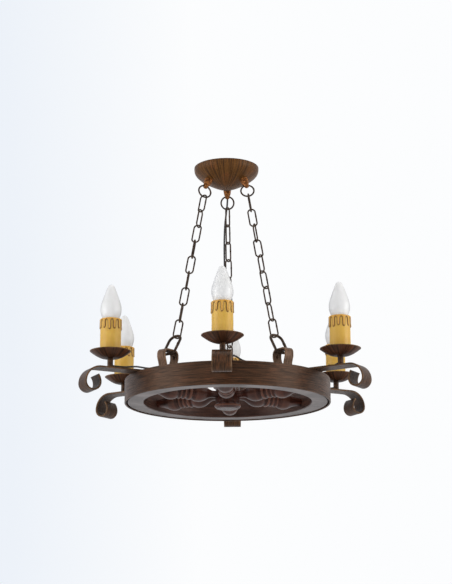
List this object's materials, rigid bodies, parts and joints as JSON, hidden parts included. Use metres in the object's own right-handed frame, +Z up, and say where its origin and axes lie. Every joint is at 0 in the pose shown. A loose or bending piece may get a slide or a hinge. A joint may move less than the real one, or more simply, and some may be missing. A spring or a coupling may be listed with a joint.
{
  "type": "wagon wheel chandelier",
  "caption": "Ceiling chandelier: wooden wagon wheel in an iron hoop with turned spokes, hung on chains from a canopy, with scrolled iron arms carrying candle bulbs over drip pans.",
  "frame": {"origin": "centre of the ceiling canopy, on the ceiling plane", "axes": "+Z up out of the object into the ceiling; -Y towards the front arm; +X to the right seen from the front"},
  "size_m": [0.4801, 0.531, 0.4279],
  "materials": {
    "canopy_paint": "satin",
    "eye_paint": "satin",
    "iron": "satin",
    "chain_iron": "satin",
    "steel": "satin",
    "wood": "satin",
    "wax": "satin",
    "frosted_glass": "satin",
    "cap_metal": "satin",
    "holder": "gloss",
    "terminal": "matte",
    "rubber": "matte",
    "cord": "matte"
  },
  "bodies": {
    "canopy": {"canopy": "canopy_paint", "ceiling_crossbar": "steel", "canopy_grub_screws": "steel", "canopy_terminal_block": "terminal", "cord_grommet": "rubber", "screw_eyes": "eye_paint", "screw_eye_nuts": "steel"},
    "ring_back": {"ring_back": "chain_iron"},
    "chain_back": {"chain_back": "chain_iron", "power_cord": "cord"},
    "hook_back": {"hook_link_back": "chain_iron"},
    "ring_left": {"ring_left": "chain_iron"},
    "chain_left": {"chain_left": "chain_iron"},
    "ring_right": {"ring_right": "chain_iron"},
    "chain_right": {"chain_right": "chain_iron"},
    "bulb_front": {"bulb_glass_front": "frosted_glass", "bulb_cap_front": "cap_metal"},
    "bulb_front_right": {"bulb_glass_front_right": "frosted_glass", "bulb_cap_front_right": "cap_metal"},
    "bulb_back_right": {"bulb_glass_back_right": "frosted_glass", "bulb_cap_back_right": "cap_metal"},
    "bulb_back": {"bulb_glass_back": "frosted_glass", "bulb_cap_back": "cap_metal"},
    "bulb_back_left": {"bulb_glass_back_left": "frosted_glass", "bulb_cap_back_left": "cap_metal"},
    "bulb_front_left": {"bulb_glass_front_left": "frosted_glass", "bulb_cap_front_left": "cap_metal"},
    "wheel": {"arm_back": "iron", "arm_back_left": "iron", "arm_back_right": "iron", "arm_front": "iron", "arm_front_left": "iron", "arm_front_right": "iron", "arm_screws": "iron", "bracket_back": "iron", "bracket_left": "iron", "bracket_right": "iron", "bracket_rivets": "iron", "candle_sleeve_back": "wax", "candle_sleeve_back_left": "wax", "candle_sleeve_back_right": "wax", "candle_sleeve_front": "wax", "candle_sleeve_front_left": "wax", "candle_sleeve_front_right": "wax", "drip_pan_back": "iron", "drip_pan_back_left": "iron", "drip_pan_back_right": "iron", "drip_pan_front": "iron", "drip_pan_front_left": "iron", "drip_pan_front_right": "iron", "felloe": "wood", "hub": "wood", "iron_hoop": "iron", "lampholders": "holder", "spokes": "wood", "stem_nuts": "steel", "stems": "iron", "wheel_terminal_block": "terminal", "wheel_wiring": "cord"}
  },
  "joints": [
    {"name": "back_ring_pitch", "type": "hinge", "parent": "canopy", "child": "ring_back", "pos_m": [0, 0.04092, -0.03873], "axis": [1, 0, 0], "range_deg": [-3.5, 3.5]},
    {"name": "back_chain_roll", "type": "hinge", "parent": "ring_back", "child": "chain_back", "pos_m": [0, 0.0488, -0.05992], "axis": [0, 1, 0], "range_deg": [-3.5, 3.5]},
    {"name": "left_ring_pitch", "type": "hinge", "parent": "canopy", "child": "ring_left", "pos_m": [-0.03544, -0.02046, -0.03873], "axis": [1, 0, 0], "range_deg": [-3.51, 3.51]},
    {"name": "left_chain_roll", "type": "hinge", "parent": "ring_left", "child": "chain_left", "pos_m": [-0.03875, -0.02661, -0.06023], "axis": [0, 1, 0], "range_deg": [-3.31, 3.31]},
    {"name": "right_ring_pitch", "type": "hinge", "parent": "canopy", "child": "ring_right", "pos_m": [0.03544, -0.02046, -0.03873], "axis": [1, 0, 0], "range_deg": [-3.51, 3.51]},
    {"name": "right_chain_roll", "type": "hinge", "parent": "ring_right", "child": "chain_right", "pos_m": [0.03889, -0.02651, -0.06023], "axis": [0, 1, 0], "range_deg": [-3.31, 3.31]},
    {"name": "hook_roll", "type": "hinge", "parent": "chain_back", "child": "hook_back", "pos_m": [0, 0.14505, -0.31861], "axis": [0, 1, 0], "range_deg": [-1.6, 1.6]},
    {"name": "wheel_pitch", "type": "hinge", "parent": "hook_back", "child": "wheel", "pos_m": [0, 0.159, -0.3561], "axis": [1, 0, 0], "range_deg": [-0.79, 0.79]},
    {"name": "bulb_front_turn", "type": "hinge", "parent": "wheel", "child": "bulb_front", "pos_m": [0, -0.211, -0.3195], "axis": [0, 0, 1], "range_deg": [0, 1260]},
    {"name": "bulb_front_right_turn", "type": "hinge", "parent": "wheel", "child": "bulb_front_right", "pos_m": [0.18879, -0.102, -0.3195], "axis": [0, 0, 1], "range_deg": [0, 1260]},
    {"name": "bulb_back_right_turn", "type": "hinge", "parent": "wheel", "child": "bulb_back_right", "pos_m": [0.18879, 0.116, -0.3195], "axis": [0, 0, 1], "range_deg": [0, 1260]},
    {"name": "bulb_back_turn", "type": "hinge", "parent": "wheel", "child": "bulb_back", "pos_m": [0, 0.225, -0.3195], "axis": [0, 0, 1], "range_deg": [0, 1260]},
    {"name": "bulb_back_left_turn", "type": "hinge", "parent": "wheel", "child": "bulb_back_left", "pos_m": [-0.18879, 0.116, -0.3195], "axis": [0, 0, 1], "range_deg": [0, 1260]},
    {"name": "bulb_front_left_turn", "type": "hinge", "parent": "wheel", "child": "bulb_front_left", "pos_m": [-0.18879, -0.102, -0.3195], "axis": [0, 0, 1], "range_deg": [0, 1260]}
  ],
  "couplings": [
    {"joint": "wheel_pitch", "follows": "back_ring_pitch", "ratio": -0.22116},
    {"joint": "hook_roll", "follows": "back_chain_roll", "ratio": -0.45123},
    {"joint": "left_ring_pitch", "follows": "back_ring_pitch", "ratio": 0.99793},
    {"joint": "right_ring_pitch", "follows": "back_ring_pitch", "ratio": 0.99825},
    {"joint": "left_chain_roll", "follows": "back_chain_roll", "ratio": 0.94035},
    {"joint": "right_chain_roll", "follows": "back_chain_roll", "ratio": 0.93994}
  ]
}
